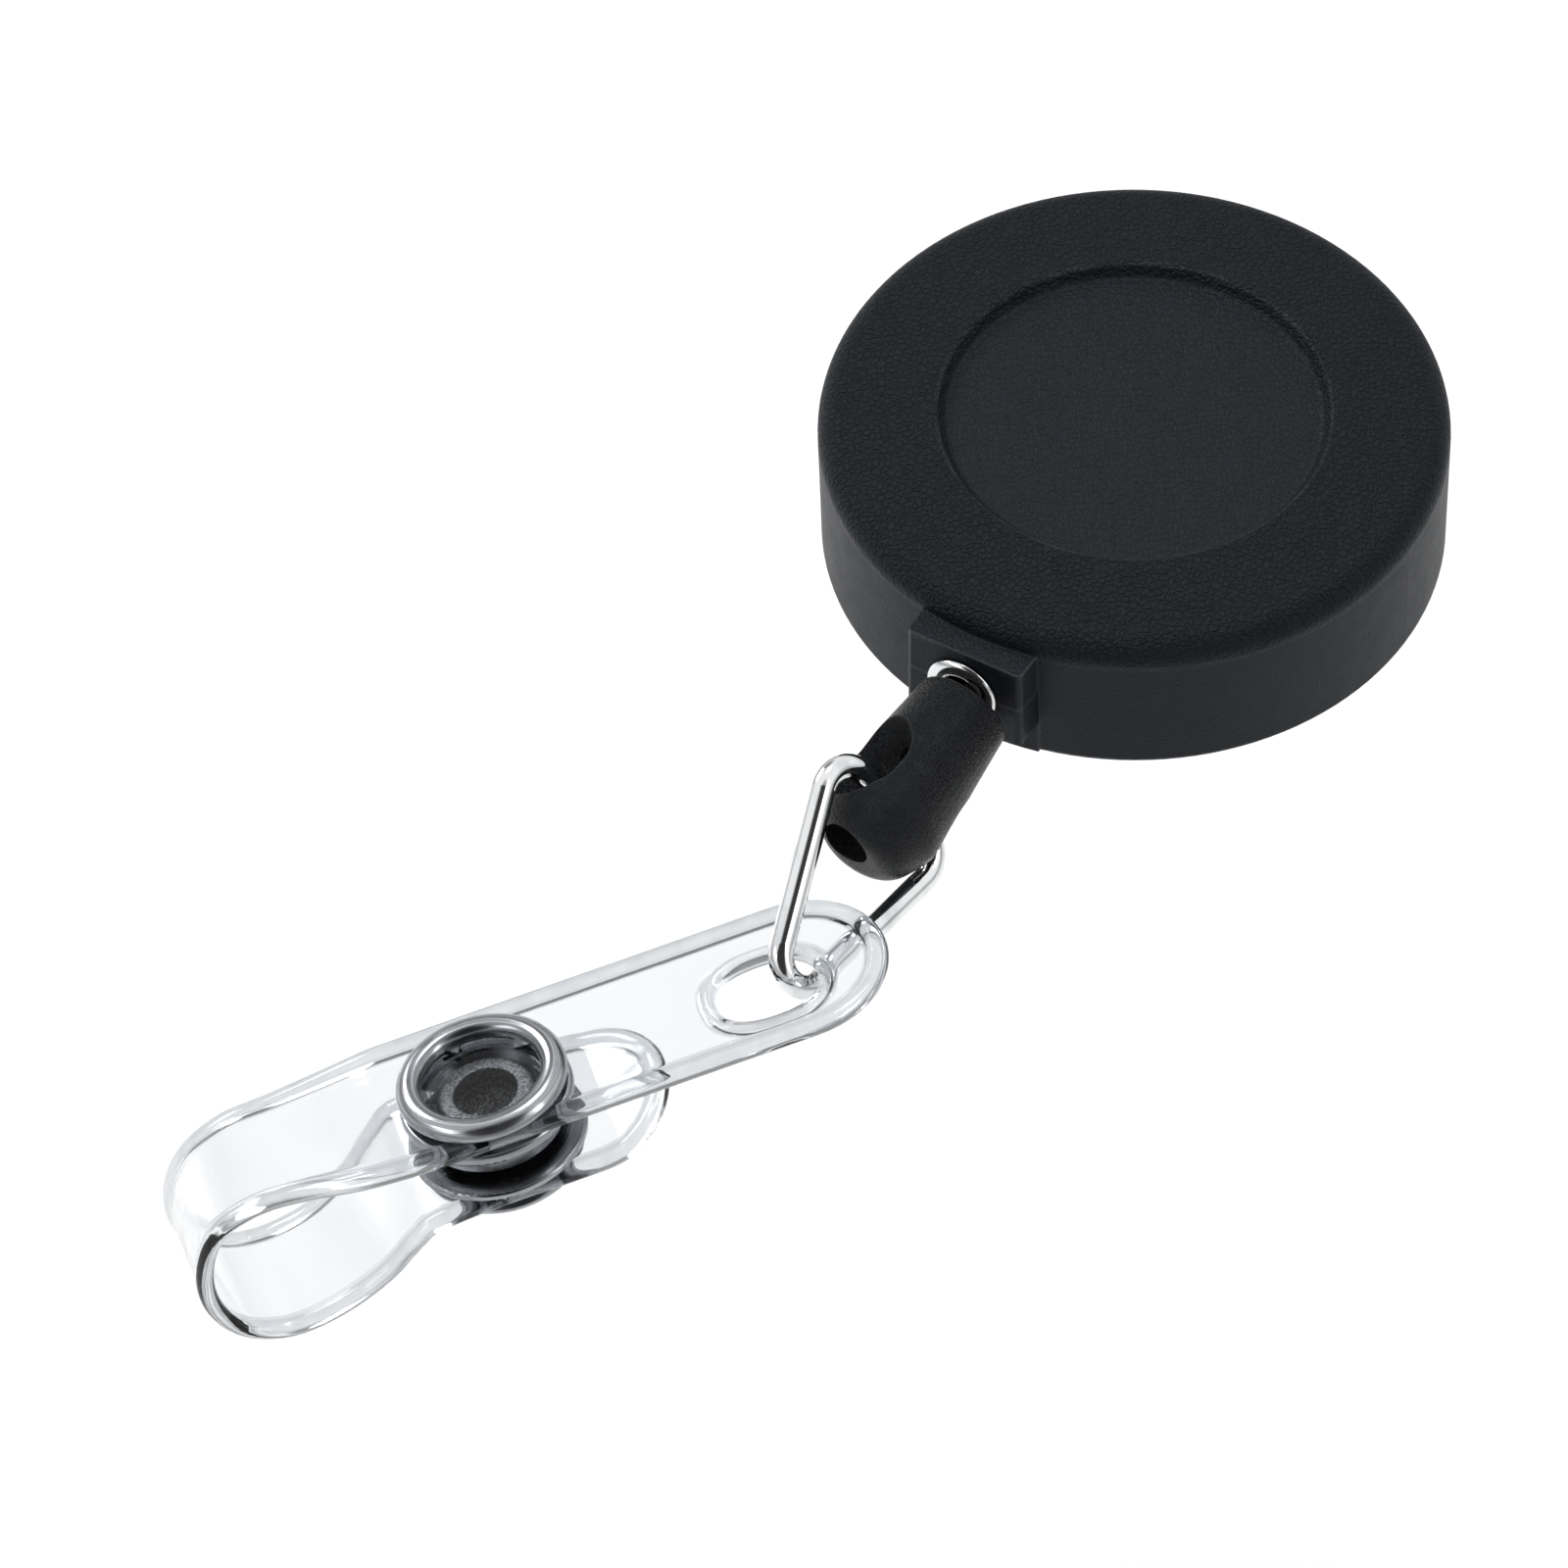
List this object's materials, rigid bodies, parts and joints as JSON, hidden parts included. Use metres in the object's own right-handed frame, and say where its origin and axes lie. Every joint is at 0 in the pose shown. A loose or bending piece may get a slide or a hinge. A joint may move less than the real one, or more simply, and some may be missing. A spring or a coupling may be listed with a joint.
{
  "type": "retractable badge reel",
  "caption": "Round spring-wound reel with a belt clip; its cord ends in a swivelling barrel, a wire ring and a clear strap that closes into a loop with a snap.",
  "frame": {"origin": "centre of the round label recess in the face, on its floor", "axes": "+Z out of the face along the spool's axle, -Y towards the cord outlet, +X across the outlet"},
  "size_m": [0.0407, 0.0786, 0.023],
  "materials": {
    "housing_plastic": "moulded, fine leather-like grain on the face, satin rim",
    "barrel_plastic": "moulded, fine grain",
    "spool_plastic": "natural moulded",
    "washer_nylon": "natural",
    "cord_nylon": "braided, waxed",
    "spring_steel": "blued strip",
    "plated_steel": "bright nickel plate",
    "chrome_wire": "bright chrome",
    "snap_nickel": "nickel, rolled and pressed",
    "clear_vinyl": "clear flexible sheet, polished"
  },
  "bodies": {
    "housing": {"front_cover": "housing_plastic", "rear_cover": "housing_plastic", "outlet_eyelet": "plated_steel", "clip_rivet": "plated_steel", "rivet_washer": "plated_steel", "swivel_washer": "washer_nylon"},
    "spool": {"spool": "spool_plastic", "cord_winding": "cord_nylon", "mainspring": "spring_steel", "spring_cover": "spring_steel", "spool_washer": "spool_plastic"},
    "cord_end": {"cord_lead": "cord_nylon", "cord_knot": "cord_nylon"},
    "barrel": {"end_barrel": "barrel_plastic"},
    "ring": {"wire_ring": "chrome_wire"},
    "strap": {"strap_upper": "clear_vinyl", "strap_bend": "clear_vinyl", "snap_top_ring": "snap_nickel", "snap_socket": "snap_nickel", "socket_spring": "spring_steel"},
    "tail": {"strap_tail": "clear_vinyl", "snap_stud": "snap_nickel", "snap_bottom_ring": "snap_nickel"},
    "clip": {"belt_clip": "plated_steel"}
  },
  "joints": [
    {"name": "cord_pull", "type": "slide", "parent": "housing", "child": "cord_end", "axis": [-0.0685, -0.9796, -0.1891], "range_m": [0, 0.6], "stiffness_N_per_m": 1.5, "springref_m": -0.3, "deforming": ["cord_lead"]},
    {"name": "spool_spin", "type": "hinge", "parent": "housing", "child": "spool", "pos_m": [0, 0, -0.0036], "axis": [0, 0, 1], "range_deg": [-3620, 0]},
    {"name": "barrel_swivel", "type": "hinge", "parent": "cord_end", "child": "barrel", "pos_m": [0.00072, -0.01968, -0.00368], "axis": [-0.0685, -0.9796, -0.1891], "continuous": true},
    {"name": "ring_swing", "type": "hinge", "parent": "barrel", "child": "ring", "pos_m": [0.00023, -0.02484, -0.00451], "axis": [0.6208, 0.21, -0.7554], "range_deg": [-85, 85]},
    {"name": "strap_swing", "type": "hinge", "parent": "ring", "child": "strap", "pos_m": [0.00071, -0.03584, -0.00718], "axis": [-0.2275, -0.0396, 0.973], "range_deg": [-75, 75]},
    {"name": "tail_open", "type": "hinge", "parent": "strap", "child": "tail", "pos_m": [-0.01873, -0.05617, -0.01502], "axis": [-0.6995, 0.7017, -0.135], "range_deg": [0, 75], "deforming": ["strap_bend"]},
    {"name": "clip_swivel", "type": "hinge", "parent": "housing", "child": "clip", "pos_m": [0, 0, -0.0092], "axis": [0, 0, 1], "continuous": true}
  ],
  "couplings": [
    {"joint": "spool_spin", "follows": "cord_pull", "rad_per_m": -104.7}
  ]
}
